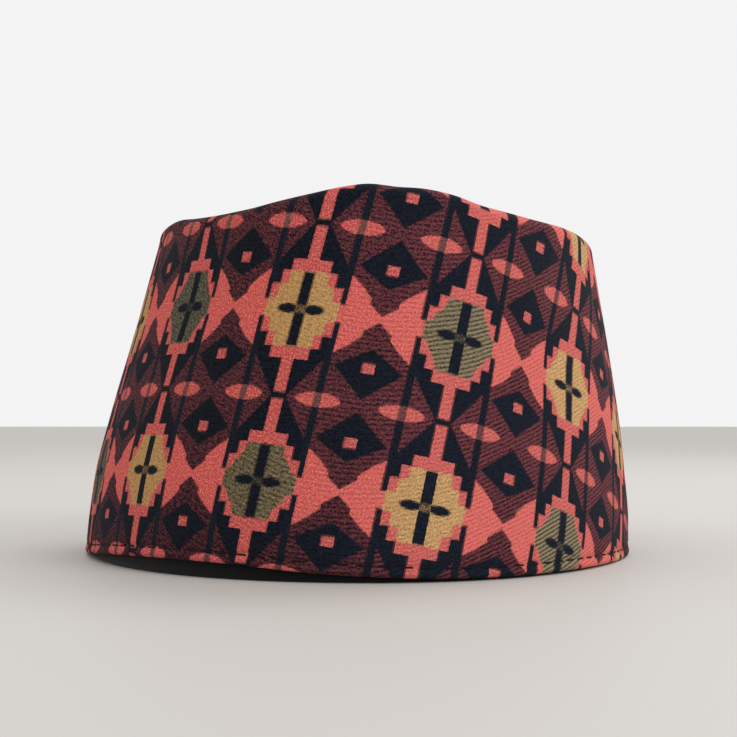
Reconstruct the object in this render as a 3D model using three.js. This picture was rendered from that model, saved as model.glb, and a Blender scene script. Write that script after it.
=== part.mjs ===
// Dhaka topi in millimetres. Z is up, the front of the hat faces -Y and it stands on z = 0.
import * as THREE from 'three';

// Outer size of the side wall at the hem and near the top
const baseHalfWidth = 80;
const baseHalfLength = 105.2;
const topHalfWidth = 61.4;
const topHalfLength = 89.9;
const taperHeight = 91.6;
const frontNarrowing = 0.02;
const leanRight = 3;
const bellyDepth = 3;
const centringShift = 2.8;

// Height of the folded top edge: the level all round and the peak at the front
const rimHeight = 88;
const frontPeak = 5.8;
const hemArch = 3.9;

// Cloth and how the pieces meet
const wallThickness = 2;
const foldRadius = 3.5;
const flapDepth = 10;
const pieceGap = 0.3;
const crownThickness = 1.6;
const crownDrop = 4;
const crownSkirtLift = 0.8;
const crownSag = 2.5;
const crownEdgeRadius = 1.2;
const liningThickness = 1.2;
const liningLean = 1.6;
const liningLeanHeight = 12;
const liningTopGap = 0.5;

// Detail of the faceted solids
const segmentsAround = 80;
const wallRows = 11;
const liningRows = 8;
const outerFoldSteps = 7;
const innerFoldSteps = 4;
const crownRings = 6;

// Angles are in degrees about the upright axis: 0 is the front, positive goes to +X, 180 is the back.
// share is the part of frontPeak that is added to rimHeight there.
const rimTable = [
  { angle: -180, share: 0.00 },
  { angle: -135, share: 0.17 },
  { angle: -90, share: 0.45 },
  { angle: -62, share: 0.46 },
  { angle: -50, share: 0.24 },
  { angle: -40, share: 0.16 },
  { angle: -30, share: 0.24 },
  { angle: -22, share: 0.44 },
  { angle: -14, share: 0.66 },
  { angle: -7, share: 0.87 },
  { angle: 0, share: 1.00 },
  { angle: 7, share: 0.88 },
  { angle: 14, share: 0.83 },
  { angle: 21, share: 0.64 },
  { angle: 28, share: 0.31 },
  { angle: 36, share: 0.13 },
  { angle: 45, share: 0.00 },
  { angle: 60, share: -0.04 },
  { angle: 90, share: -0.19 },
  { angle: 135, share: -0.07 },
  { angle: 180, share: 0.00 },
];

// share is the part of hemArch by which the outer cloth's hem stands above the table there.
const hemTable = [
  { angle: -180, share: 0.00 },
  { angle: -96, share: 0.00 },
  { angle: -82, share: 0.08 },
  { angle: -70, share: 0.27 },
  { angle: -60, share: 0.55 },
  { angle: -50, share: 0.82 },
  { angle: -40, share: 0.97 },
  { angle: -30, share: 1.00 },
  { angle: -20, share: 0.90 },
  { angle: -10, share: 0.64 },
  { angle: 2, share: 0.40 },
  { angle: 14, share: 0.22 },
  { angle: 28, share: 0.14 },
  { angle: 42, share: 0.14 },
  { angle: 56, share: 0.11 },
  { angle: 70, share: 0.03 },
  { angle: 84, share: 0.00 },
  { angle: 180, share: 0.00 },
];

// left and right are the parts of bellyDepth by which that side stands out from the straight taper.
// height is a share of taperHeight.
const bellyTable = [
  { height: 0.00, left: 0.20, right: -1.65 },
  { height: 0.12, left: 0.64, right: -1.13 },
  { height: 0.25, left: 1.02, right: -0.77 },
  { height: 0.36, left: 0.99, right: -0.53 },
  { height: 0.52, left: 0.76, right: -0.36 },
  { height: 0.72, left: 0.38, right: -0.21 },
  { height: 1.00, left: 0.10, right: -0.17 },
];

// Smooth reading of a table: cubic between rows, with flat slopes at its two ends
function readTable(rows, key, column, at) {
  const last = rows.length - 1;
  if (at <= rows[0][key]) return rows[0][column];
  if (at >= rows[last][key]) return rows[last][column];
  let i = 0;
  while (at > rows[i + 1][key]) i += 1;
  const slopeAt = (k) => {
    if (k <= 0 || k >= last) return 0;
    const rise = rows[k + 1][column] - rows[k - 1][column];
    return rise / (rows[k + 1][key] - rows[k - 1][key]);
  };
  const span = rows[i + 1][key] - rows[i][key];
  const t = (at - rows[i][key]) / span;
  const start = rows[i][column];
  const end = rows[i + 1][column];
  const startSlope = slopeAt(i) * span;
  const endSlope = slopeAt(i + 1) * span;
  return start * (2 * t ** 3 - 3 * t ** 2 + 1) + startSlope * (t ** 3 - 2 * t ** 2 + t)
    + end * (3 * t ** 2 - 2 * t ** 3) + endSlope * (t ** 3 - t ** 2);
}

const rimAt = (angle) => rimHeight + frontPeak * readTable(rimTable, 'angle', 'share', angle);
const hemAt = (angle) => hemArch * Math.max(0, readTable(hemTable, 'angle', 'share', angle));

// Outer surface of the wall in plan at one height
function outline(angle, height) {
  const share = height / taperHeight;
  const turn = THREE.MathUtils.degToRad(angle);
  const halfWidth = THREE.MathUtils.lerp(baseHalfWidth, topHalfWidth, share);
  const halfLength = THREE.MathUtils.lerp(baseHalfLength, topHalfLength, share);
  const side = Math.sin(turn);
  const standsOut = readTable(bellyTable, 'height', side < 0 ? 'left' : 'right', share);
  const belly = Math.sign(side) * side * side * standsOut * bellyDepth;
  const x = halfWidth * side * (1 - frontNarrowing * Math.cos(turn)) + belly;
  const y = -halfLength * Math.cos(turn);
  return new THREE.Vector2(x + leanRight * share + centringShift, y);
}

// The same outline moved straight inwards by a distance
function insetPoint(angle, height, inset) {
  const step = 0.5;
  const before = outline(angle - step, height);
  const after = outline(angle + step, height);
  const along = after.sub(before).normalize();
  const point = outline(angle, height);
  return new THREE.Vector3(point.x - along.y * inset, point.y + along.x * inset, height);
}

// A ring of profile points per angle, joined round into one closed surface
function sweptBody(profileAt) {
  const positions = [];
  const faces = [];
  let rows = 0;
  for (let i = 0; i < segmentsAround; i += 1) {
    const angle = -180 + (360 * i) / segmentsAround;
    const profile = profileAt(angle);
    rows = profile.length;
    profile.forEach((point) => positions.push(point.x, point.y, point.z));
  }
  for (let i = 0; i < segmentsAround; i += 1) {
    const next = (i + 1) % segmentsAround;
    for (let j = 0; j < rows; j += 1) {
      const up = (j + 1) % rows;
      const corner = i * rows + j;
      const beside = next * rows + j;
      const above = i * rows + up;
      const across = next * rows + up;
      faces.push(corner, beside, across, corner, across, above);
    }
  }
  return geometryFrom(positions, faces);
}

function geometryFrom(positions, faces) {
  const geometry = new THREE.BufferGeometry();
  geometry.setAttribute('position', new THREE.Float32BufferAttribute(positions, 3));
  geometry.setIndex(faces);
  geometry.computeVertexNormals();
  return geometry;
}

// Side wall: up the outside, over the rounded fold, down the flap and back down the inside
function wallProfile(angle) {
  const rim = rimAt(angle);
  const hem = hemAt(angle);
  const foldStart = rim - foldRadius;
  const innerRadius = foldRadius - wallThickness;
  const points = [];
  for (let i = 0; i < wallRows; i += 1) {
    points.push(insetPoint(angle, THREE.MathUtils.lerp(hem, foldStart, i / wallRows), 0));
  }
  for (let i = 0; i <= outerFoldSteps; i += 1) {
    const turn = (Math.PI * i) / outerFoldSteps;
    const inset = foldRadius - foldRadius * Math.cos(turn);
    points.push(insetPoint(angle, foldStart, inset).setZ(foldStart + foldRadius * Math.sin(turn)));
  }
  points.push(insetPoint(angle, foldStart, 2 * foldRadius).setZ(rim - flapDepth));
  points.push(insetPoint(angle, foldStart, 2 * foldRadius - wallThickness).setZ(rim - flapDepth));
  for (let i = innerFoldSteps; i >= 0; i -= 1) {
    const turn = (Math.PI * i) / innerFoldSteps;
    const inset = foldRadius - innerRadius * Math.cos(turn);
    points.push(insetPoint(angle, foldStart, inset).setZ(foldStart + innerRadius * Math.sin(turn)));
  }
  for (let i = wallRows - 1; i >= 0; i -= 1) {
    points.push(insetPoint(angle, THREE.MathUtils.lerp(hem, foldStart, i / wallRows), wallThickness));
  }
  return points;
}

// Lining: a band that stands on the table inside the wall and leans in under the flap at its top
function liningProfile(angle) {
  const top = rimAt(angle) - flapDepth - liningTopGap;
  const outside = [];
  const inside = [];
  for (let i = 0; i <= liningRows; i += 1) {
    const height = (top * i) / liningRows;
    const lean = liningLean * THREE.MathUtils.smoothstep(height, top - liningLeanHeight, top);
    const inset = wallThickness + pieceGap + lean;
    outside.push(insetPoint(angle, height, inset));
    inside.unshift(insetPoint(angle, height, inset + liningThickness));
  }
  return outside.concat(inside);
}

// Crown: an oval panel with its edge turned down beside the flap, closed at the middle
function crownBody() {
  const positions = [];
  const faces = [];
  const middleHeight = rimHeight - crownDrop - crownSag;
  const edgeInset = 2 * foldRadius + pieceGap;
  let rows = 0;
  for (let i = 0; i < segmentsAround; i += 1) {
    const angle = -180 + (360 * i) / segmentsAround;
    const rim = rimAt(angle);
    const foldStart = rim - foldRadius;
    const edge = rim - crownDrop;
    const skirtEnd = rim - flapDepth + crownSkirtLift;
    const profile = [];
    const addRing = (share, drop) => {
      const outer = insetPoint(angle, foldStart, edgeInset + crownEdgeRadius);
      const height = THREE.MathUtils.lerp(middleHeight, edge, share * share);
      profile.push(new THREE.Vector3(outer.x * share, outer.y * share, height - drop));
    };
    const addEdge = (inset, height) => profile.push(insetPoint(angle, foldStart, inset).setZ(height));
    for (let k = crownRings; k >= 1; k -= 1) addRing(k / crownRings, crownThickness);
    profile.reverse();
    addEdge(edgeInset + crownThickness, edge - 2 * crownThickness);
    addEdge(edgeInset + crownThickness, skirtEnd);
    addEdge(edgeInset, skirtEnd);
    addEdge(edgeInset, edge - crownEdgeRadius);
    addEdge(edgeInset + crownEdgeRadius * (1 - Math.SQRT1_2), edge - crownEdgeRadius * (1 - Math.SQRT1_2));
    for (let k = crownRings; k >= 1; k -= 1) addRing(k / crownRings, 0);
    rows = profile.length;
    profile.forEach((point) => positions.push(point.x, point.y, point.z));
  }
  const middleBelow = positions.length / 3;
  positions.push(0, 0, middleHeight - crownThickness, 0, 0, middleHeight);
  for (let i = 0; i < segmentsAround; i += 1) {
    const here = i * rows;
    const next = ((i + 1) % segmentsAround) * rows;
    for (let j = 0; j < rows - 1; j += 1) {
      faces.push(here + j, next + j, next + j + 1, here + j, next + j + 1, here + j + 1);
    }
    faces.push(middleBelow, next, here);
    faces.push(middleBelow + 1, here + rows - 1, next + rows - 1);
  }
  return geometryFrom(positions, faces);
}

function clothPiece(name, geometry, colour, roughness) {
  const material = new THREE.MeshStandardMaterial({ color: colour, roughness, metalness: 0 });
  material.name = name;
  const mesh = new THREE.Mesh(geometry, material);
  mesh.name = name;
  return mesh;
}

const topi = new THREE.Group();
topi.name = 'dhaka_topi';
topi.add(clothPiece('wall', sweptBody(wallProfile), 0x8c3f3e, 0.9));
topi.add(clothPiece('crown', crownBody(), 0x7c3a3b, 0.9));
topi.add(clothPiece('lining', sweptBody(liningProfile), 0x17181a, 0.95));

export default topi;
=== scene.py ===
"""A dhaka topi: a tapered oval cap of patterned woven cloth with a folded top edge, in metres."""
import math

import bmesh
import bpy
import numpy as np
from mathutils import Matrix, Vector, noise


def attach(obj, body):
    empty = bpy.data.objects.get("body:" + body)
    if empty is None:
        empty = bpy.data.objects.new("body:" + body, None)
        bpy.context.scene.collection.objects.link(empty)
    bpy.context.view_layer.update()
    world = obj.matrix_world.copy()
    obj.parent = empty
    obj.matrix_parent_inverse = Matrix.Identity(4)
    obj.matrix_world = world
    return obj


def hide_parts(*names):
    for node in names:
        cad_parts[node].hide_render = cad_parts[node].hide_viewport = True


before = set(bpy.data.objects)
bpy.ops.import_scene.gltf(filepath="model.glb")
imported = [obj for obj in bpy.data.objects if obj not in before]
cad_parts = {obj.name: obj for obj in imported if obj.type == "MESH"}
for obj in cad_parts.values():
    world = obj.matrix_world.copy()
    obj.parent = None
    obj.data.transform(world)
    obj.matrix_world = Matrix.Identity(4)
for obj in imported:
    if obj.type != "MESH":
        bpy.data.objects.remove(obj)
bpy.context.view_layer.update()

MM = 0.001

# Outer form of the side wall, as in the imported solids
BASE_HALF_WIDTH = 80 * MM
BASE_HALF_LENGTH = 105.2 * MM
TOP_HALF_WIDTH = 61.4 * MM
TOP_HALF_LENGTH = 89.9 * MM
TAPER_HEIGHT = 91.6 * MM
FRONT_NARROWING = 0.02
LEAN_RIGHT = 3 * MM
BELLY_DEPTH = 3 * MM
CENTRING_SHIFT = 2.8 * MM
RIM_HEIGHT = 88 * MM
FRONT_PEAK = 5.8 * MM
HEM_ARCH = 3.9 * MM

# Cloth layers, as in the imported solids
WALL_THICKNESS = 2 * MM
FOLD_RADIUS = 3.5 * MM
FLAP_DEPTH = 10 * MM
PIECE_GAP = 0.3 * MM
CROWN_THICKNESS = 1.6 * MM
CROWN_DROP = 4 * MM
CROWN_SKIRT_LIFT = 0.8 * MM
CROWN_SAG = 2.5 * MM
CROWN_EDGE_RADIUS = 1.2 * MM
LINING_THICKNESS = 1.2 * MM
LINING_LEAN = 1.6 * MM
LINING_LEAN_HEIGHT = 12 * MM
LINING_TOP_GAP = 0.5 * MM

# Sewing
STITCH_ABOVE_HEM = 2.5 * MM
STITCH_LENGTH = 4.1 * MM
STITCH_PITCH = 5.0 * MM
THREAD_RADIUS = 0.21 * MM
THREAD_SECTIONS = 13
THREAD_SIDES = 8
# The higher this even number, the longer a stitch keeps its depth and girth before its ends turn in
STITCH_FLATNESS = 8
# In thread radii: how far a stitch lies above the groove's floor, and how deep its ends turn in
STITCH_LIFT = 0.7
STITCH_TURN_IN = 1.6
STITCH_TIP = 0.05
STITCH_GROOVE = 0.45 * MM
STITCH_GROOVE_WIDTH = 0.7 * MM
# Share of the groove's depth at its shallowest, which comes once in each stitch pitch
SHALLOW_GROOVE = 0.5
BACK_SEAM_DEPTH = 0.7 * MM
BACK_SEAM_WIDTH = 1.1 * MM
BACK_SEAM_FADE = 3 * MM

# Soft unevenness of the cloth: depth, size and seed of the ripples
WALL_RIPPLES = [(0.30 * MM, 34 * MM, 11), (0.12 * MM, 13 * MM, 2)]
WALL_RIPPLE_FADE = 10 * MM
LINING_RIPPLE = (0.25 * MM, 22 * MM, 4)
CROWN_RIPPLE = (0.45 * MM, 30 * MM, 6)

# How finely the cloth is divided
WALL_COLUMNS = 720
INNER_COLUMNS = 360
LINING_STEPS = 40
CROWN_RINGS = 46
# The crown's rings end at this share of its size, and the hole inside them is filled
CROWN_CENTRE = 0.004
STITCH_PATH_STEPS = 4000

# Woven repeat: the spacing of its columns and rows
COLUMN_PITCH = 40.2 * MM
ROW_PITCH = 42.0 * MM

# The three tables hold the hat's uneven outline in the photo. RIM_TABLE and BELLY_TABLE were fitted
# to it, and HEM_TABLE comes from places on the hem that were read off.
# Columns are angle in degrees (0 front, + to the right, 180 back) and a share of FRONT_PEAK.
RIM_TABLE = [
    (-180, 0.00), (-135, 0.17), (-90, 0.45), (-62, 0.46), (-50, 0.24), (-40, 0.16), (-30, 0.24),
    (-22, 0.44), (-14, 0.66), (-7, 0.87), (0, 1.00), (7, 0.88), (14, 0.83), (21, 0.64),
    (28, 0.31), (36, 0.13), (45, 0.00), (60, -0.04), (90, -0.19), (135, -0.07), (180, 0.00),
]
# Columns are angle in degrees and a share of HEM_ARCH.
HEM_TABLE = [
    (-180, 0.00), (-96, 0.00), (-82, 0.08), (-70, 0.27), (-60, 0.55), (-50, 0.82), (-40, 0.97),
    (-30, 1.00), (-20, 0.90), (-10, 0.64), (2, 0.40), (14, 0.22), (28, 0.14), (42, 0.14),
    (56, 0.11), (70, 0.03), (84, 0.00), (180, 0.00),
]
# Columns are a share of TAPER_HEIGHT, then shares of BELLY_DEPTH for the left and right sides.
BELLY_TABLE = [
    (0.00, 0.20, -1.65), (0.12, 0.64, -1.13), (0.25, 1.02, -0.77), (0.36, 0.99, -0.53),
    (0.52, 0.76, -0.36), (0.72, 0.38, -0.21), (1.00, 0.10, -0.17),
]


def read_table(rows, column, at):
    """Cubic reading of a table's column, with flat slopes at its two ends."""
    keys = np.array([row[0] for row in rows], float)
    values = np.array([row[column] for row in rows], float)
    at = np.clip(at, keys[0], keys[-1])
    i = np.clip(np.searchsorted(keys, at, side="right") - 1, 0, len(keys) - 2)
    slopes = np.zeros(len(keys))
    slopes[1:-1] = (values[2:] - values[:-2]) / (keys[2:] - keys[:-2])
    span = keys[i + 1] - keys[i]
    t = (at - keys[i]) / span
    return (values[i] * (2 * t**3 - 3 * t**2 + 1) + slopes[i] * span * (t**3 - 2 * t**2 + t)
            + values[i + 1] * (3 * t**2 - 2 * t**3) + slopes[i + 1] * span * (t**3 - t**2))


def rim_at(angle):
    return RIM_HEIGHT + FRONT_PEAK * read_table(RIM_TABLE, 1, angle)


def hem_at(angle):
    return HEM_ARCH * np.maximum(0, read_table(HEM_TABLE, 1, angle))


def outline(angle, height):
    """Outer surface of the wall in plan, for arrays of degrees and heights."""
    angle, height = np.broadcast_arrays(np.asarray(angle, float), np.asarray(height, float))
    share = height / TAPER_HEIGHT
    side = np.sin(np.radians(angle))
    ahead = np.cos(np.radians(angle))
    half_width = BASE_HALF_WIDTH + (TOP_HALF_WIDTH - BASE_HALF_WIDTH) * share
    half_length = BASE_HALF_LENGTH + (TOP_HALF_LENGTH - BASE_HALF_LENGTH) * share
    bulge = np.where(side < 0, read_table(BELLY_TABLE, 1, share), read_table(BELLY_TABLE, 2, share))
    x = half_width * side * (1 - FRONT_NARROWING * ahead) + np.sign(side) * side**2 * bulge * BELLY_DEPTH
    return np.stack([x + LEAN_RIGHT * share + CENTRING_SHIFT, -half_length * ahead], -1)


def outward(angle, height):
    """Level direction straight out of the wall."""
    step = 0.5
    along = outline(np.asarray(angle) + step, height) - outline(np.asarray(angle) - step, height)
    along /= np.linalg.norm(along, axis=-1, keepdims=True)
    return np.stack([along[..., 1], -along[..., 0]], -1)


def wall_point(angle, height, inset, at_height=None):
    """A point moved straight in from the wall's outline at one height, and lifted to another."""
    flat = outline(angle, height) - outward(angle, height) * np.asarray(inset)[..., None]
    z = np.broadcast_to(height if at_height is None else at_height, flat.shape[:-1])
    return np.concatenate([flat, z[..., None]], -1)


def smooth_step(x, low, high):
    t = np.clip((x - low) / (high - low), 0, 1)
    return t * t * (3 - 2 * t)


def ripple(points, depth, size, seed):
    """Smooth noise at each point, up to that depth either way, with lumps about size metres across."""
    shape = points.shape[:-1]
    offset = Vector((seed * 7.31, seed * 3.17, seed * 5.53))
    flat = points.reshape(-1, 3)
    values = [noise.noise(Vector(p) / size + offset) for p in flat]
    return depth * np.array(values).reshape(shape)


# Meshes


def closed_mesh(name, grid, layout, wraps_profile=True):
    """A mesh from grid[column, row, xyz], closed round the hat and, if asked, along the profile.

    layout[column, row, uv] has one more column than grid, so that the cloth can end at a seam.
    """
    columns, rows = grid.shape[:2]
    i = np.arange(columns)[:, None]
    j = np.arange(rows if wraps_profile else rows - 1)[None, :]
    i2 = (i + 1) % columns
    j2 = (j + 1) % rows
    quads = np.stack(np.broadcast_arrays(i * rows + j, i2 * rows + j, i2 * rows + j2, i * rows + j2), -1)
    mesh = bpy.data.meshes.new(name)
    mesh.from_pydata(grid.reshape(-1, 3).tolist(), [], quads.reshape(-1, 4).tolist())
    corner_columns = np.stack(np.broadcast_arrays(i, i + 1, i + 1, i), -1) + 0 * j[..., None]
    corner_rows = np.stack(np.broadcast_arrays(j, j, j + 1, j + 1), -1) + 0 * i[..., None]
    corner_rows = np.minimum(corner_rows, layout.shape[1] - 1)
    uv = mesh.uv_layers.new(name="cloth")
    uv.data.foreach_set("uv", layout[corner_columns, corner_rows].reshape(-1).astype(np.float32))
    mesh.polygons.foreach_set("use_smooth", [True] * len(mesh.polygons))
    mesh.update()
    piece = bpy.data.objects.new(name, mesh)
    bpy.context.scene.collection.objects.link(piece)
    return piece


def columns_round(count):
    """Angles of the columns from the back seam round to the back seam, both ends included."""
    return np.linspace(-180, 180, count + 1)


# Laying the strip of cloth on the wall

# Heights of the two lines on the wall whose lengths are kept when it is laid out flat
LOW_RULING = 14 * MM
HIGH_RULING = 76 * MM
# The strip's lie is worked out in decimetres. The bend levels off towards BEND_LIMIT on either side.
DECIMETRE = 100 * MM
BEND_LIMIT = 0.9
MIDDLE_HEIGHT = 0.45
# Shares of: one, across, up, bend squared, bend times rise, rise squared. Rise is the height above
# MIDDLE_HEIGHT. The shares were fitted to the places where the photo shows the motifs.
COLUMN_TERMS = (0.650, 2.487, -0.532, -0.068, 0.143, -0.095)
ROW_TERMS = (-0.124, 0.317, 2.344, -0.010, -0.023, -0.119)
# Where sewing pulled the cloth: flat place and reach in decimetres, then the shift in columns, rows
LOCAL_PULLS = [
    (0.74, 0.90, 0.22, -0.15, -0.13), (0.54, 0.46, 0.14, 0.07, 0.035),
    (0.95, 0.65, 0.20, -0.10, 0.00), (-0.52, 0.60, 0.12, -0.045, 0.00),
]


def unroll(angles):
    """Flat places of the low and high ends of each column when the wall is laid out flat."""
    low = wall_point(angles, LOW_RULING, 0.0 * angles)
    high = wall_point(angles, HIGH_RULING, 0.0 * angles)
    middle = int(np.argmin(np.abs(angles)))
    flat_low = np.zeros((len(angles), 2))
    flat_high = np.zeros((len(angles), 2))
    flat_high[middle] = 0, np.linalg.norm(high[middle] - low[middle])
    for side in (1, -1):
        i = middle
        while 0 <= i + side < len(angles):
            k = i + side
            flat_low[k] = apex(flat_low[i], flat_high[i], low[k] - low[i], low[k] - high[i], side)
            flat_high[k] = apex(flat_low[k], flat_high[i], high[k] - low[k], high[k] - high[i], side)
            i = k
    return flat_low, flat_high


def apex(start, end, from_start, from_end, side):
    """The third corner of a flat triangle that keeps its two edges' real lengths."""
    a = np.linalg.norm(from_start)
    b = np.linalg.norm(from_end)
    base = end - start
    length = np.linalg.norm(base)
    along = base / length
    reach = (a * a - b * b + length * length) / (2 * length)
    across = math.sqrt(max(a * a - reach * reach, 0))
    return start + along * reach + side * across * np.array([along[1], -along[0]])


def cloth_layout(flat):
    """Column and row of the woven repeat at flat places."""
    x = flat[..., 0] / DECIMETRE
    z = flat[..., 1] / DECIMETRE
    bend = BEND_LIMIT * np.tanh(x / BEND_LIMIT)
    rise = z - MIDDLE_HEIGHT
    terms = (1.0, x, z, bend**2, bend * rise, rise**2)
    column = sum(share * term for share, term in zip(COLUMN_TERMS, terms))
    row = sum(share * term for share, term in zip(ROW_TERMS, terms))
    for pull_x, pull_z, reach, columns, rows in LOCAL_PULLS:
        near = np.exp(-((x - pull_x) ** 2 + (z - pull_z) ** 2) / reach**2)
        column = column + columns * near
        row = row + rows * near
    return np.stack([column, row], -1)


# Side wall

# The band at the hem that has finer steps, for the groove
LOW_BAND = 8 * MM
# The wall's section, up the outside, over the fold and down the inside: each stretch with its number
# of steps, and the first and last step that has a row of points
WALL_SECTION = [
    ("hem_out", 4, 0, 3), ("low", 16, 0, 15), ("high", 60, 0, 59), ("fold_out", 18, 0, 18),
    ("flap_out", 6, 1, 6), ("flap_end", 3, 1, 2), ("fold_in", 5, 0, 5), ("inside", 8, 1, 8),
    ("hem_in", 3, 1, 2),
]


def wall_profile():
    """Rows of the wall's section: the kind of stretch and the share along it."""
    return [(kind, step / steps) for kind, steps, first, last in WALL_SECTION
            for step in range(first, last + 1)]


def wall_grid(angles):
    rim = rim_at(angles)
    hem = hem_at(angles)
    fold_start = rim - FOLD_RADIUS
    round_edge = WALL_THICKNESS / 2
    inner_radius = FOLD_RADIUS - WALL_THICKNESS
    band_top = hem + LOW_BAND
    points = []
    for kind, t in wall_profile():
        turn = math.pi * t
        level = fold_start
        lift = None
        if kind == "hem_out":
            level = hem + round_edge * (1 - math.cos(turn / 2))
            inset = round_edge * (1 - math.sin(turn / 2))
        elif kind == "low":
            level = hem + round_edge + (band_top - hem - round_edge) * t
            inset = 0
        elif kind == "high":
            level = band_top + (fold_start - band_top) * t
            inset = 0
        elif kind == "fold_out":
            inset = FOLD_RADIUS * (1 - math.cos(turn))
            lift = fold_start + FOLD_RADIUS * math.sin(turn)
        elif kind == "flap_out":
            inset = 2 * FOLD_RADIUS
            lift = fold_start + (rim - FLAP_DEPTH + round_edge - fold_start) * t
        elif kind == "flap_end":
            inset = 2 * FOLD_RADIUS - round_edge * (1 - math.cos(turn))
            lift = rim - FLAP_DEPTH + round_edge * (1 - math.sin(turn))
        elif kind == "fold_in":
            inset = FOLD_RADIUS + inner_radius * math.cos(turn)
            lift = fold_start + inner_radius * math.sin(turn)
        elif kind == "inside":
            level = fold_start + (hem + round_edge - fold_start) * t
            inset = WALL_THICKNESS
        else:
            inset = WALL_THICKNESS - round_edge * (1 - math.cos(turn / 2))
            level = hem + round_edge * (1 - math.sin(turn / 2))
        points.append(wall_point(angles, level, np.full_like(angles, inset), lift))
    return np.stack(points, 1)


def wall_relief(angles, grid):
    """How far each point of the wall's face moves straight out."""
    kinds = [kind for kind, _ in wall_profile()]
    shown = np.array([kind in ("low", "high", "fold_out") for kind in kinds], float)
    height = grid[..., 2]
    above_hem = height - hem_at(angles)[:, None]
    broad = sum(ripple(grid, *layer) for layer in WALL_RIPPLES)
    broad *= smooth_step(above_hem, 0, WALL_RIPPLE_FADE)
    groove = np.exp(-((above_hem - STITCH_ABOVE_HEM) / STITCH_GROOVE_WIDTH) ** 2)
    low_rows = np.array([kind == "low" for kind in kinds], float)
    arc = hem_arc(angles)
    between = (1 + np.cos(2 * math.pi * arc / STITCH_PITCH)[:, None]) / 2
    stitch = -STITCH_GROOVE * groove * (SHALLOW_GROOVE + (1 - SHALLOW_GROOVE) * between) * low_rows
    from_seam = np.minimum(arc, arc[-1] - arc)[:, None]
    seam = -BACK_SEAM_DEPTH * np.exp(-((from_seam / BACK_SEAM_WIDTH) ** 2))
    return (broad + seam * smooth_step(above_hem, 0, BACK_SEAM_FADE)) * shown + stitch


def hem_arc(angles):
    """Length along the hem from the back seam to each column."""
    path = wall_point(angles, hem_at(angles), 0.0 * angles)
    steps = np.linalg.norm(np.diff(path, axis=0), axis=1)
    return np.concatenate([[0], np.cumsum(steps)])


def wall_layout(angles, grid):
    flat_low, flat_high = unroll(angles)
    steps = np.linalg.norm(np.diff(grid, axis=1), axis=2)
    arc = np.concatenate([np.zeros((len(angles), 1)), np.cumsum(steps, 1)], 1)
    kinds = [kind for kind, _ in wall_profile()]
    face = np.array([kind in ("low", "high") for kind in kinds])
    shares = np.empty_like(arc)
    for i in range(len(angles)):
        low, high = np.interp([LOW_RULING, HIGH_RULING], grid[i, face, 2], arc[i, face])
        shares[i] = (arc[i] - low) / (high - low)
    flat = flat_low[:, None] * (1 - shares[..., None]) + flat_high[:, None] * shares[..., None]
    return cloth_layout(flat)


def make_wall():
    angles = columns_round(WALL_COLUMNS)
    grid = wall_grid(angles)
    layout = wall_layout(angles, grid)
    out = outward(angles[:, None], np.broadcast_to(RIM_HEIGHT / 2, grid.shape[:2]))
    grid[..., :2] += out * wall_relief(angles, grid)[..., None]
    grid[-1] = grid[0]
    return closed_mesh("patterned_wall", grid[:-1], layout)


# Lining


def make_lining():
    angles = columns_round(INNER_COLUMNS)
    top = rim_at(angles) - FLAP_DEPTH - LINING_TOP_GAP
    round_edge = LINING_THICKNESS / 2
    outer = []
    inner = []
    shares = np.linspace(0, 1, LINING_STEPS + 1)
    for share in shares:
        height = round_edge + (top - 2 * round_edge) * share
        lean = LINING_LEAN * smooth_step(height, top - LINING_LEAN_HEIGHT, top)
        inset = WALL_THICKNESS + PIECE_GAP + lean
        outer.append(wall_point(angles, height, inset))
        inner.append(wall_point(angles, height, inset + LINING_THICKNESS))
    middle = np.full_like(angles, WALL_THICKNESS + PIECE_GAP + round_edge)
    bottom = wall_point(angles, 0.0 * angles, middle)
    top_edge = wall_point(angles, top, middle + LINING_LEAN)
    grid = np.stack([bottom, *outer, top_edge, *reversed(inner)], 1)
    # The ripples only move the inner face, below its top edge, and only inwards
    inward = np.zeros(grid.shape[1])
    inward[len(shares) + 3:-1] = 1
    folds = (ripple(grid, *LINING_RIPPLE) - LINING_RIPPLE[0]) * inward
    out = outward(angles[:, None], np.broadcast_to(RIM_HEIGHT / 2, grid.shape[:2]))
    grid[..., :2] += out * folds[..., None]
    grid[-1] = grid[0]
    arc = hem_arc(angles)[:, None] + 0 * grid[..., 0]
    layout = np.stack([arc / COLUMN_PITCH, grid[..., 2] / ROW_PITCH], -1)
    return closed_mesh("black_lining", grid[:-1], layout)


# Crown


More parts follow.
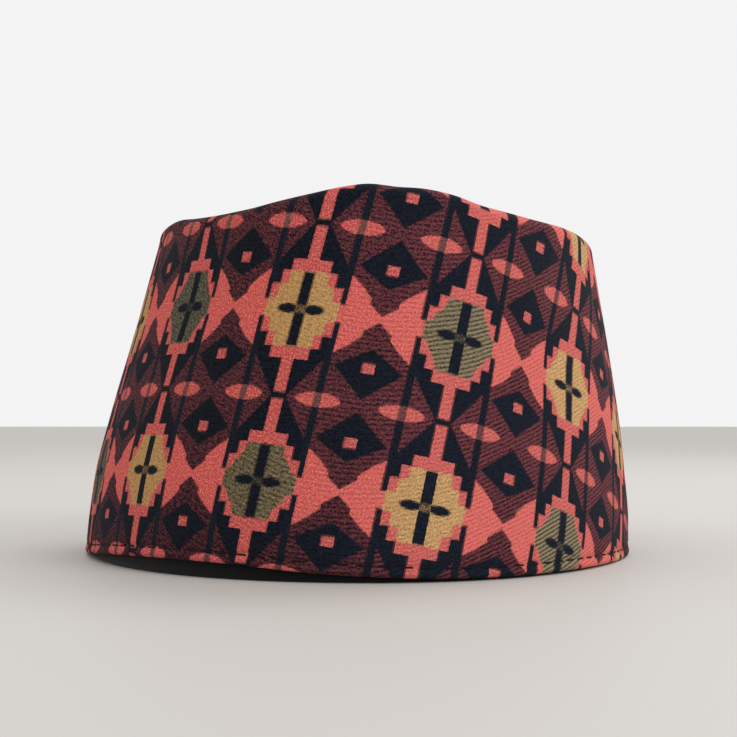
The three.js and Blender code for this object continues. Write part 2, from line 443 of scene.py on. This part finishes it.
def make_crown():
    angles = columns_round(INNER_COLUMNS)
    rim = rim_at(angles)
    level = rim - FOLD_RADIUS
    edge = rim - CROWN_DROP
    skirt_end = rim - FLAP_DEPTH + CROWN_SKIRT_LIFT
    edge_inset = 2 * FOLD_RADIUS + PIECE_GAP
    middle = RIM_HEIGHT - CROWN_DROP - CROWN_SAG
    rim_ring = wall_point(angles, level, np.full_like(angles, edge_inset + CROWN_EDGE_RADIUS))

    def ring(share, drop):
        height = middle + (edge - middle) * share**2 - drop
        return np.concatenate([rim_ring[:, :2] * share, height[:, None]], 1)

    def at_edge(inset, height):
        return wall_point(angles, level, np.full_like(angles, inset), height)

    shares = np.linspace(CROWN_CENTRE, 1, CROWN_RINGS)
    rows = [ring(share, CROWN_THICKNESS) for share in shares[::3]]
    rows.append(at_edge(edge_inset + CROWN_THICKNESS, edge - 2 * CROWN_THICKNESS))
    rows.append(at_edge(edge_inset + CROWN_THICKNESS, skirt_end))
    rows.append(at_edge(edge_inset, skirt_end))
    rows.append(at_edge(edge_inset, edge - CROWN_EDGE_RADIUS))
    for turn in np.linspace(0, math.pi / 2, 5)[1:-1]:
        inset = edge_inset + CROWN_EDGE_RADIUS * (1 - math.sin(turn))
        rows.append(at_edge(inset, edge - CROWN_EDGE_RADIUS * (1 - math.cos(turn + math.pi))))
    rows += [ring(share, 0) for share in shares[::-1]]
    grid = np.stack(rows, 1)
    face = np.zeros(grid.shape[1])
    face[-len(shares):] = 1
    grid[..., 2] += face * ripple(grid, *CROWN_RIPPLE)
    grid[-1] = grid[0]
    layout = np.stack([grid[..., 0] / COLUMN_PITCH, grid[..., 1] / ROW_PITCH], -1)
    crown = closed_mesh("crown_panel", grid[:-1], layout, wraps_profile=False)
    close_ends(crown)
    return crown


def close_ends(piece):
    """Fills the small holes at the middle of the crown, above and below."""
    mesh = bmesh.new()
    mesh.from_mesh(piece.data)
    bmesh.ops.holes_fill(mesh, edges=mesh.edges, sides=0)
    mesh.to_mesh(piece.data)
    mesh.free()


# Topstitching


def make_topstitch():
    """Short stitches of dark thread, lying in the groove a little above the hem."""
    dense = columns_round(STITCH_PATH_STEPS)
    arc = hem_arc(dense)
    count = int(arc[-1] / STITCH_PITCH)
    turn = 2 * math.pi * np.arange(THREAD_SIDES) / THREAD_SIDES
    t = np.linspace(-1, 1, THREAD_SECTIONS)
    turned_in = t**STITCH_FLATNESS
    sink = STITCH_GROOVE + THREAD_RADIUS * (STITCH_TURN_IN * turned_in - STITCH_LIFT)
    radius = THREAD_RADIUS * np.sqrt(np.clip(1 + STITCH_TIP - turned_in, STITCH_TIP, 1))
    up = np.array([0, 0, 1.0])
    vertices = []
    faces = []
    for middle in (np.arange(count) + 0.5) * arc[-1] / count:
        angle = np.interp(middle + t * STITCH_LENGTH / 2, arc, dense)
        height = hem_at(angle) + STITCH_ABOVE_HEM
        centre = wall_point(angle, height, sink)
        out = np.concatenate([outward(angle, height), np.zeros((THREAD_SECTIONS, 1))], 1)
        ring = np.cos(turn)[None, :, None] * out[:, None] + np.sin(turn)[None, :, None] * up
        base = len(vertices)
        vertices += (centre[:, None] + ring * radius[:, None, None]).reshape(-1, 3).tolist()
        for i in range(THREAD_SECTIONS - 1):
            for j in range(THREAD_SIDES):
                a = base + i * THREAD_SIDES + j
                b = base + i * THREAD_SIDES + (j + 1) % THREAD_SIDES
                faces.append((a, b, b + THREAD_SIDES, a + THREAD_SIDES))
        end = base + (THREAD_SECTIONS - 1) * THREAD_SIDES
        faces.append(tuple(base + j for j in reversed(range(THREAD_SIDES))))
        faces.append(tuple(end + j for j in range(THREAD_SIDES)))
    mesh = bpy.data.meshes.new("hem_topstitch")
    mesh.from_pydata(vertices, [], faces)
    mesh.polygons.foreach_set("use_smooth", [True] * len(mesh.polygons))
    piece = bpy.data.objects.new("hem_topstitch", mesh)
    bpy.context.scene.collection.objects.link(piece)
    return piece


# Materials


def srgb(red, green, blue):
    """A colour given as 8-bit screen values, for a shader socket."""
    def linear(value):
        share = value / 255
        return share / 12.92 if share <= 0.04045 else ((share + 0.055) / 1.055) ** 2.4
    return (linear(red), linear(green), linear(blue), 1.0)


class Field:
    """A number that varies over the cloth: a shader socket with the usual arithmetic."""

    def __init__(self, tree, socket):
        self.tree = tree
        self.socket = socket

    def math(self, operation, *others, clamp=False):
        """The result of a Math node with this field as its first number."""
        node = self.tree.nodes.new("ShaderNodeMath")
        node.operation = operation
        node.use_clamp = clamp
        for slot, value in zip(node.inputs, (self, *others)):
            if isinstance(value, Field):
                self.tree.links.new(value.socket, slot)
            else:
                slot.default_value = value
        return Field(self.tree, node.outputs[0])

    def __add__(self, other):
        return self.math("ADD", other)

    def __sub__(self, other):
        return self.math("SUBTRACT", other)

    def __mul__(self, other):
        return self.math("MULTIPLY", other)

    def __rsub__(self, other):
        return self.math("MULTIPLY_ADD", -1.0, other)

    __rmul__ = __mul__

    def size(self):
        return self.math("ABSOLUTE")

    def lesser(self, other):
        return self.math("MINIMUM", other)

    def greater(self, other):
        return self.math("MAXIMUM", other)

    def power(self, other):
        return self.math("POWER", other)

    def wave(self):
        return self.math("SINE")

    def held(self, level):
        """The field raised by a level and kept between 0 and 1."""
        return self.math("ADD", level, clamp=True)

    def mask(self, softness):
        """1 where the field is above zero, with a soft edge that wide."""
        return self.math("MULTIPLY_ADD", 1 / softness, 0.5, clamp=True)


def box_field(a, b, left, right, low, high):
    """Above zero inside a rectangle of the folded repeat."""
    across = (right - left) / 2 - (a - (left + right) / 2).size()
    along = (high - low) / 2 - (b - (low + high) / 2).size()
    return across.lesser(along)


def under_line(a, b, start, end):
    """Above zero on the side of a line from start to end where b is smaller."""
    slope = (end[1] - start[1]) / (end[0] - start[0])
    scale = 1 / math.hypot(1, slope)
    return (a * (slope * scale) - b * scale) + (start[1] - slope * start[0]) * scale


def blended(tree, factor, below, above):
    """Colour above laid over colour below by a factor; each is a socket or a colour."""
    node = tree.nodes.new("ShaderNodeMix")
    node.data_type = "RGBA"
    factor_in, below_in, above_in = node.inputs[0], node.inputs[6], node.inputs[7]
    tree.links.new(factor.socket, factor_in)
    for slot, value in ((below_in, below), (above_in, above)):
        if isinstance(value, tuple):
            slot.default_value = value
        else:
            tree.links.new(value, slot)
    return node.outputs[2]


def noise_field(tree, vector, scale, detail=2.0):
    node = tree.nodes.new("ShaderNodeTexNoise")
    node.noise_dimensions = "3D"
    node.inputs["Scale"].default_value = scale
    node.inputs["Detail"].default_value = detail
    tree.links.new(vector, node.inputs["Vector"])
    return Field(tree, node.outputs["Fac"])


def weighted(fields, shares):
    """The sum of the named fields, each times its share."""
    total = None
    for name, share in shares.items():
        part = fields[name] * share
        total = part if total is None else total + part
    return total


def cloth_material(name):
    """A new material, its tree and shader, and the cloth's place with its column and row."""
    material = bpy.data.materials.new(name)
    material.use_nodes = True
    tree = material.node_tree
    source = tree.nodes.new("ShaderNodeUVMap")
    source.uv_map = "cloth"
    place = source.outputs[0]
    split = tree.nodes.new("ShaderNodeSeparateXYZ")
    tree.links.new(place, split.inputs[0])
    column = Field(tree, split.outputs[0])
    row = Field(tree, split.outputs[1])
    return material, tree, tree.nodes["Principled BSDF"], place, column, row


def add_bump(tree, shader, relief, depth):
    bump = tree.nodes.new("ShaderNodeBump")
    bump.inputs["Strength"].default_value = 0.6
    bump.inputs["Distance"].default_value = depth
    tree.links.new(relief.socket, bump.inputs["Height"])
    tree.links.new(bump.outputs[0], shader.inputs["Normal"])


# The quarter of the repeat, in shares of the column and row pitch: a is the distance from the
# nearest bar, b the distance from the nearest row of medallions.
BAR_HALF = 0.037
BAR_END = 0.480
SIDE_LINE = (0.223, 0.271)
SIDE_LINE_FOOT = 0.05
STEPS = [(0.126, 0.286), (0.181, 0.219), (0.235, 0.139)]
# Each tier's right and upper limits, and how much of its corner is cut off
HEART_STEPS = [(0.127, 0.216, 0.014), (0.182, 0.138, 0.038), (0.238, 0.056, 0.014)]
HEART_FILLET = 0.09
GOLD_CORNER = 0.35
HEART_BAR = (0.036, 0.214)
HEART_KNOT = (0.034, 0.023)
LOBE_CENTRE = 0.084
LOBE_HALF = (0.070, 0.028)
DIAMOND_TIP = (0.290, 0.290)
DIAMOND_FOOT = 0.172
DIAMOND_HEAD = 0.464
SQUARE = (0.463, 0.537, 0.255, 0.313)
RHOMB_TIP = (0.05, 0.5)
RHOMB_FOOT = (0.229, 0.268)
FAN_EDGE = [(0.265, 0.226), (0.350, 0.168), (0.406, 0.116)]
FAN_NECK = [(0.414, 0.080), (0.500, 0.016)]
FAN_START = 0.228
LENS_CENTRE = 0.2500
LENS_HALF = (0.140, 0.047)
LENS_BLUNTNESS = 0.55
EDGE_SOFTNESS = 0.008
# The one heart left coral, and how many columns from the front the gold hearts are crisply stepped
PLAIN_HEART = (1.0, 2.0)
FRONT_COLUMN = 0.5
CRISP_REACH = 1.2

# How far threads stray, in repeats, and how many lumps of straying there are to a repeat
WANDER = 0.011
WANDER_SCALES = (46.0, 38.0)

CORAL = srgb(234, 104, 98)
CORAL_DEEP = srgb(156, 52, 54)
CORAL_LIGHT = srgb(238, 136, 120)
# Painted sheen on the coral, laid on towards the right-hand columns
CORAL_SHEEN = srgb(206, 116, 109)
NIGHT = srgb(4, 5, 10)
NIGHT_LIGHT = srgb(34, 40, 52)
# Painted sheen on the dark ground, laid on towards the right-hand columns
NIGHT_SHEEN = srgb(38, 44, 60)
MAROON_DARK = srgb(27, 16, 22)
MAROON_LIGHT = srgb(120, 63, 69)
GOLD = srgb(224, 176, 112)
GOLD_DARK = srgb(108, 70, 42)
# Painted sheen on the gold, laid on towards the right-hand columns
GOLD_SHEEN = srgb(238, 204, 160)
OLIVE = srgb(147, 129, 96)
OLIVE_DARK = srgb(42, 38, 28)
# Painted sheen on the olive, laid on towards the right-hand columns
OLIVE_SHEEN = srgb(168, 158, 136)
OLIVE_GREY = srgb(106, 111, 98)

# Threads and ribs of the weave
THREAD_PITCH = 0.4 * MM
THREAD_WAVER = 2.2 * MM
WAVER_SCALE = 7.0
RIB_WAVER = 0.4
STREAK_WAVER = 0.5
STREAK_PITCH = 0.6 * MM
SPECKLE_SCALE = 88.0
SPECKLE_CONTRAST = 2.4
MOTTLE_LENGTH = 1.3 * MM
MOTTLE_WIDTH = 0.62 * MM
MOTTLE_CONTRAST = 2.8
RIB_PITCH = 1.2 * MM
# Slope of the ribs before the first column, and its change per column over the columns where it turns
RIB_SLOPE = -0.3
RIB_TURN = 0.75
RIBS_TURN_BY = 1.35
# In columns: where the weave turns from mottled to ribbed, and how far apart that comes again
RIBBED_FROM = 0.4
RIBBED_SPACING = 6.0
# Painted sheen makes the colours a little paler towards the right-hand end: from this column, by this
# much a column, and at most
SHEEN_FROM = -0.1
SHEEN_PER_COLUMN = 0.3
MOST_SHEEN = 0.33

# Shares of the textures in how light each colour is, and what is added to their sum
NIGHT_GRAIN = {"speckle": 0.65, "mottle": 0.35}
NIGHT_CONTRAST = 1.6
# The dark ground takes this share of the painted sheen
NIGHT_SHEEN_SHARE = 0.5
CORAL_GRAIN = {"speckle": 0.45, "mottle": 0.22, "ribs": 0.7, "ribbed": -0.1, "mottled": 0.16}
CORAL_FLECKS_ABOVE = 0.72
CORAL_FLECK_SOFTNESS = 0.5
# The maroon is lightened by painted sheen towards the right-hand columns
MAROON_GRAIN = {"speckle": 0.95, "mottle": 0.34, "ribs": 0.62, "ribbed": -0.1, "painted_sheen": 0.3}
MAROON_LEVEL = -0.449
MAROON_MOTTLED = 0.2
MAROON_SPECKLE_PER_ROW = 0.25
MAROON_FROM_MEDALLIONS = 0.12
MAROON_DARKENS_BELOW = 0.3
MAROON_DARKENING = 0.2
GOLD_GRAIN = {"speckle": 0.6, "mottle": 0.25, "ribs": 0.2, "streaks": 0.1}
GOLD_LEVEL = 0.02
# The gold takes this share of the painted sheen
GOLD_SHEEN_SHARE = 0.75
OLIVE_GRAIN = {"speckle": 0.6, "mottle": 0.1, "ribs": 0.75, "mottled": -0.15}
OLIVE_MOTTLED_GRAIN = {"speckle": 0.3, "mottle": 0.4}
OLIVE_LEVEL = -0.2
GREYED_BEFORE = -0.5
GREYED_SHARE = 0.6
RELIEF_GRAIN = {"speckle": 0.45, "mottle": 0.15, "ribs": 0.3, "weave": 0.3}
RELIEF_DEPTH = 0.2 * MM

# Threads of a second colour: floating over small coral pieces, in the line over a lens, in the knot
FLOATING_SHARE = 0.25
SQUARE_FLOATING_SHARE = 0.4
LINE_OVER_LENS = 0.8
KHAKI_SHARE = 0.35
KHAKI_PER_ROW = 0.28
# How much the painted sheen thins the khaki threads
KHAKI_LOST_TO_SHEEN = 2.2
KNOT_SHARE = 0.55


def cloth_threads(tree, place, column, row):
    """Fields from 0 to 1: the textures of the cloth, and where along the strip each shows."""
    across = column * COLUMN_PITCH
    up = row * ROW_PITCH
    turned = column.greater(0.0).lesser(RIBS_TURN_BY)
    lean = column * RIB_SLOPE + turned * (column - turned * 0.5) * RIB_TURN
    along_ribs = up - lean * COLUMN_PITCH
    waver = (noise_field(tree, place, WAVER_SCALE) - 0.5) * THREAD_WAVER

    def wave(field, pitch):
        return (field * (2 * math.pi / pitch)).wave()

    stretched = tree.nodes.new("ShaderNodeCombineXYZ")
    tree.links.new((across * (1 / MOTTLE_LENGTH)).socket, stretched.inputs[0])
    tree.links.new((along_ribs * (1 / MOTTLE_WIDTH)).socket, stretched.inputs[1])
    mottle = (noise_field(tree, stretched.outputs[0], 1.0, 1.0) - 0.5) * MOTTLE_CONTRAST
    speckle = (noise_field(tree, place, SPECKLE_SCALE, 3.0) - 0.5) * SPECKLE_CONTRAST
    ribbed = wave(column - RIBBED_FROM, RIBBED_SPACING) * 0.5 + 0.5
    ribs = wave(along_ribs + waver * RIB_WAVER, RIB_PITCH) * 0.5 + 0.5
    return {
        "speckle": speckle.held(0.5),
        "mottle": mottle.held(0.5),
        "streaks": wave(across + waver * STREAK_WAVER, STREAK_PITCH) * 0.5 + 0.5,
        "weave": wave(across, THREAD_PITCH) * wave(up, THREAD_PITCH) * 0.5 + 0.5,
        "ribs": ribs * ribbed,
        "ribbed": ribbed,
        "mottled": 1 - ribbed,
        # Painted sheen: from 0, growing towards the right-hand columns
        "painted_sheen": ((column - SHEEN_FROM) * SHEEN_PER_COLUMN).greater(0.0).lesser(MOST_SHEEN),
    }


def cloth_colours(tree, threads, column, row, b):
    """The colour of each ground, with its grain."""
    speckle = threads["speckle"]
    mottled = threads["mottled"]
    painted_sheen = threads["painted_sheen"]
    night = blended(tree, weighted(threads, NIGHT_GRAIN).power(NIGHT_CONTRAST), NIGHT, NIGHT_LIGHT)
    # Painted sheen over the dark ground
    night = blended(tree, painted_sheen * NIGHT_SHEEN_SHARE, night, NIGHT_SHEEN)

    coral = blended(tree, weighted(threads, CORAL_GRAIN).lesser(1.0), CORAL_DEEP, CORAL)
    flecks = (speckle - CORAL_FLECKS_ABOVE).mask(CORAL_FLECK_SOFTNESS)
    coral = blended(tree, flecks, coral, CORAL_LIGHT)
    # Painted sheen over the coral
    coral = blended(tree, painted_sheen, coral, CORAL_SHEEN)

    marks = weighted(threads, MAROON_GRAIN) + mottled * threads["mottle"] * MAROON_MOTTLED
    marks = marks + (speckle - 0.5) * row * MAROON_SPECKLE_PER_ROW + b * MAROON_FROM_MEDALLIONS
    marks = marks + ((row - MAROON_DARKENS_BELOW) * MAROON_DARKENING).lesser(0.0)
    maroon = blended(tree, marks.held(MAROON_LEVEL), MAROON_DARK, MAROON_LIGHT)

    # Painted sheen over the gold thread
    gold_thread = blended(tree, painted_sheen * GOLD_SHEEN_SHARE, GOLD, GOLD_SHEEN)
    gold = blended(tree, weighted(threads, GOLD_GRAIN).held(GOLD_LEVEL), GOLD_DARK, gold_thread)

    greyed = column.math("LESS_THAN", GREYED_BEFORE) * GREYED_SHARE
    olive_thread = blended(tree, greyed, OLIVE, OLIVE_GREY)
    # Painted sheen over the olive thread
    olive_thread = blended(tree, painted_sheen, olive_thread, OLIVE_SHEEN)
    marks = weighted(threads, OLIVE_GRAIN) + mottled * weighted(threads, OLIVE_MOTTLED_GRAIN)
    olive = blended(tree, marks.held(OLIVE_LEVEL), OLIVE_DARK, olive_thread)

    # Small coral pieces look deeper, with dark threads floating over them
    small_coral = blended(tree, (1 - speckle) * FLOATING_SHARE, coral, NIGHT_LIGHT)
    square_coral = blended(tree, (1 - speckle) * SQUARE_FLOATING_SHARE, coral, NIGHT_LIGHT)
    return {
        "night": night, "coral": coral, "maroon": maroon, "gold": gold, "olive": olive,
        "small_coral": small_coral, "square_coral": square_coral,
    }


def draw_ground(tree, colours, a, b):
    """Dark ground with maroon rhombs and chevrons, coral fans, and the square in the diamond."""
    # Maroon rhombs round the lenses, and the chevrons between diamond and fan
    rhomb = (-1 * under_line(a, b, RHOMB_TIP, RHOMB_FOOT)).lesser(
        -1 * under_line(a, b, DIAMOND_TIP, (0.5, DIAMOND_HEAD)))
    chevron = under_line(a, b, DIAMOND_TIP, (0.5, DIAMOND_FOOT)).lesser(a - sum(SIDE_LINE) / 2)
    maroon_mask = rhomb.greater(chevron).mask(EDGE_SOFTNESS)
    colour = blended(tree, maroon_mask, colours["night"], colours["maroon"])
    # Coral fans that meet tip to tip
    fan = under_line(a, b, FAN_EDGE[0], FAN_EDGE[1])
    fan = fan.lesser(under_line(a, b, FAN_EDGE[1], FAN_EDGE[2])).lesser(FAN_NECK[0][0] - a)
    fan = fan.greater(under_line(a, b, *FAN_NECK)).lesser(a - FAN_START)
    colour = blended(tree, fan.mask(EDGE_SOFTNESS), colour, colours["coral"])
    square = box_field(a, b, *SQUARE)
    return blended(tree, square.mask(EDGE_SOFTNESS), colour, colours["square_coral"])


def draw_lines(tree, colour, colours, threads, row, a, b):
    """The dark line down each side, and the coral lens that it crosses."""
    speckle = threads["speckle"]
    line = box_field(a, b, *SIDE_LINE, SIDE_LINE_FOOT, 0.6).mask(EDGE_SOFTNESS)
    colour = blended(tree, line, colour, blended(tree, speckle, NIGHT, NIGHT_LIGHT))
    reach = ((a - LENS_CENTRE) * (1 / LENS_HALF[0])).power(2.0)
    lens = (1 - reach).greater(0.0).power(LENS_BLUNTNESS) * LENS_HALF[1] - (0.5 - b) - EDGE_SOFTNESS / 2
    # Painted sheen thins the khaki crossing towards the right-hand columns
    khaki = (row * KHAKI_PER_ROW + KHAKI_SHARE) * (1 - threads["painted_sheen"] * KHAKI_LOST_TO_SHEEN)
    crossed = blended(tree, speckle.power(2.0) * khaki, NIGHT_LIGHT, OLIVE)
    lens_colour = blended(tree, line * LINE_OVER_LENS, colours["small_coral"], crossed)
    return blended(tree, lens.mask(EDGE_SOFTNESS), colour, lens_colour)


def draw_hearts(tree, colour, colours, threads, column, row, a, b):
    """The bar and stepped coral blocks, with a gold or olive heart, its dark bar and flower."""
    blocks = box_field(a, b, -1, BAR_HALF, -1, BAR_END)
    for right, high in STEPS:
        blocks = blocks.greater(box_field(a, b, -1, right, -1, high))
    colour = blended(tree, blocks.mask(EDGE_SOFTNESS), colour, colours["small_coral"])
    # Colours alternate, but the hearts four steps out along both axes are gold again
    steps_out = column.math("ROUND") + row.math("ROUND")
    golden = steps_out.math("PINGPONG", 1.0).greater((steps_out - 4.0).size().math("LESS_THAN", 0.5))
    # Three tiers, whose corners are hardly cut off in the gold hearts near the front
    crisp = golden.lesser((column - FRONT_COLUMN).size().math("LESS_THAN", CRISP_REACH))
    cut_share = 1 - crisp * (1 - GOLD_CORNER)
    heart = None
    for right, high, corner in HEART_STEPS:
        tier = (right - a).lesser(high - b)
        tier = tier.lesser(((right + high - a) - b - cut_share * corner) * math.sqrt(0.5))
        heart = tier if heart is None else heart.math("SMOOTH_MAX", tier, cut_share * HEART_FILLET)
    heart_colour = blended(tree, golden, colours["olive"], colours["gold"])
    columns_off = (column.math("ROUND") - PLAIN_HEART[0]).size()
    plain = (columns_off + (row.math("ROUND") - PLAIN_HEART[1]).size()).math("LESS_THAN", 0.5)
    heart_colour = blended(tree, plain, heart_colour, colours["coral"])
    colour = blended(tree, heart.mask(EDGE_SOFTNESS), colour, heart_colour)
    # Dark bar and flower in the heart, with threads of both crossing in the middle
    lobe_x = ((a - LOBE_CENTRE) * (1 / LOBE_HALF[0])).power(2.0)
    lobe_y = (b * (1 / LOBE_HALF[1])).power(2.0)
    lobe = (1 - lobe_x - lobe_y) * (LOBE_HALF[1] / 2)
    dark = lobe.greater(box_field(a, b, -1, HEART_BAR[0], -1, HEART_BAR[1]))
    colour = blended(tree, dark.mask(EDGE_SOFTNESS), colour, colours["night"])
    knot = box_field(a, b, -1, HEART_KNOT[0], -1, HEART_KNOT[1]).mask(EDGE_SOFTNESS)
    return blended(tree, knot * threads["speckle"] * KNOT_SHARE, colour, heart_colour)


def dhaka_cloth(name):
    """The woven repeat, drawn from its folded quarter, with ribs, speckle and a soft sheen."""
    material, tree, shader, place, column, row = cloth_material(name)
    threads = cloth_threads(tree, place, column, row)

    def folded(along, pitch, wander_scale):
        """Distance from the nearest bar or row, wandering and stepping from thread to thread."""
        step = THREAD_PITCH / pitch
        wander = (noise_field(tree, place, wander_scale) - 0.5) * WANDER
        stepped = (along + wander).math("SNAP", step) + step / 2
        return stepped.math("PINGPONG", 0.5)

    a = folded(column, COLUMN_PITCH, WANDER_SCALES[0])
    b = folded(row, ROW_PITCH, WANDER_SCALES[1])
    colours = cloth_colours(tree, threads, column, row, b)
    colour = draw_ground(tree, colours, a, b)
    colour = draw_lines(tree, colour, colours, threads, row, a, b)
    colour = draw_hearts(tree, colour, colours, threads, column, row, a, b)
    tree.links.new(colour, shader.inputs["Base Color"])
    shader.inputs["Roughness"].default_value = 0.9
    shader.inputs["Specular IOR Level"].default_value = 0.06
    shader.inputs["Sheen Weight"].default_value = 0.02
    shader.inputs["Sheen Roughness"].default_value = 0.5
    add_bump(tree, shader, weighted(threads, RELIEF_GRAIN), RELIEF_DEPTH)
    return material


LINING_THREAD_PITCH = 0.6 * MM
LINING_SPECKLE_SCALE = 80.0
LINING_RELIEF_DEPTH = 0.15 * MM


def lining_cloth():
    """Plain black cotton, with its threads running round the hat, darkened further with painted shade.
    """
    material, tree, shader, place, _, row = cloth_material("black_lining_cloth")
    speckle = noise_field(tree, place, LINING_SPECKLE_SCALE, 3.0)
    threads = (row * (2 * math.pi * ROW_PITCH / LINING_THREAD_PITCH)).wave() * 0.5 + 0.5
    shade = (threads * 0.5 + speckle * 0.7).math("MULTIPLY", 0.8, clamp=True)
    # Black cotton's own colour, darkened further with painted shade for its place in shadow under the
    # hem
    tree.links.new(blended(tree, shade, srgb(4, 4, 4), srgb(19, 18, 17)), shader.inputs["Base Color"])
    shader.inputs["Roughness"].default_value = 0.92
    shader.inputs["Specular IOR Level"].default_value = 0.2
    shader.inputs["Sheen Weight"].default_value = 0.1
    add_bump(tree, shader, threads + speckle, LINING_RELIEF_DEPTH)
    return material


def thread_material():
    material = bpy.data.materials.new("dark_thread")
    material.use_nodes = True
    shader = material.node_tree.nodes["Principled BSDF"]
    shader.inputs["Base Color"].default_value = srgb(20, 17, 22)
    shader.inputs["Roughness"].default_value = 0.8
    shader.inputs["Specular IOR Level"].default_value = 0.15
    return material


# The hat

cloth = dhaka_cloth("dhaka_cloth")
wall = make_wall()
lining = make_lining()
crown = make_crown()
topstitch = make_topstitch()
for piece, material, slot in (
    (wall, cloth, "wall"),
    (crown, cloth, "crown"),
    (lining, lining_cloth(), "lining"),
    (topstitch, thread_material(), "lining"),
):
    piece.data.materials.append(material)
    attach(piece, "root")
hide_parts("wall")
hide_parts("crown")
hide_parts("lining")


# Floor, light and camera

# In metres
FLOOR_HALF_SIZE = 9.0
# Place and size of each lamp in metres, and its power in watts
KEY_LAMP = ((1.0, -0.8, 0.8), 0.8, 6.0)
TOP_LAMP = ((0.4, 0.6, 1.1), 0.6, 4.0)
ROOM_LIGHT = 0.9


def make_floor():
    half = FLOOR_HALF_SIZE
    mesh = bpy.data.meshes.new("floor")
    corners = [(-half, -half, 0), (half, -half, 0), (half, half, 0), (-half, half, 0)]
    mesh.from_pydata(corners, [], [(0, 1, 2, 3)])
    floor = bpy.data.objects.new("floor", mesh)
    bpy.context.scene.collection.objects.link(floor)
    material = bpy.data.materials.new("pale_floor")
    material.use_nodes = True
    shader = material.node_tree.nodes["Principled BSDF"]
    shader.inputs["Base Color"].default_value = srgb(196, 192, 187)
    shader.inputs["Roughness"].default_value = 0.6
    mesh.materials.append(material)


def area_light(name, target, place, size, power):
    data = bpy.data.lights.new(name, "AREA")
    data.shape = "DISK"
    data.size = size
    data.energy = power
    light = bpy.data.objects.new(name, data)
    light.location = place
    light.rotation_mode = "QUATERNION"
    light.rotation_quaternion = (Vector(target) - Vector(place)).to_track_quat("-Z", "Y")
    bpy.context.scene.collection.objects.link(light)


def make_light():
    world = bpy.data.worlds.new("studio")
    world.use_nodes = True
    background = world.node_tree.nodes["Background"]
    background.inputs["Color"].default_value = (1.0, 1.0, 1.0, 1.0)
    background.inputs["Strength"].default_value = ROOM_LIGHT
    bpy.context.scene.world = world
    bpy.context.scene.view_settings.view_transform = "Standard"
    middle = (0, 0, RIM_HEIGHT / 2)
    area_light("key", middle, *KEY_LAMP)
    area_light("top", middle, *TOP_LAMP)


# Camera, as solved from the hat's outline and motifs in the 737 x 737 photo
PHOTO_SIZE = 737
FOCAL_PIXELS = 1610
CAMERA_TURN = 0.0305
CAMERA_DISTANCE = 471.1 * MM
CAMERA_HEIGHT = 37.1 * MM
CAMERA_ASIDE = 3.1 * MM
CAMERA_LOOKS_UP = 0.0322


def make_camera():
    data = bpy.data.cameras.new("camera")
    data.sensor_width = 36
    data.lens = data.sensor_width * FOCAL_PIXELS / PHOTO_SIZE
    data.clip_start = 0.01
    data.clip_end = 100
    camera = bpy.data.objects.new("camera", data)
    bpy.context.scene.collection.objects.link(camera)
    right = Vector((math.cos(CAMERA_TURN), math.sin(CAMERA_TURN), 0))
    ahead = Vector((-math.sin(CAMERA_TURN), math.cos(CAMERA_TURN), 0))
    up = Vector((0, 0, 1))
    forward = ahead * math.cos(CAMERA_LOOKS_UP) + up * math.sin(CAMERA_LOOKS_UP)
    camera_up = right.cross(forward)
    camera.location = right * CAMERA_ASIDE - ahead * CAMERA_DISTANCE + up * CAMERA_HEIGHT
    turn = Matrix((right, camera_up, -forward)).transposed()
    camera.rotation_mode = "QUATERNION"
    camera.rotation_quaternion = turn.to_quaternion()
    bpy.context.scene.camera = camera


make_floor()
make_light()
make_camera()
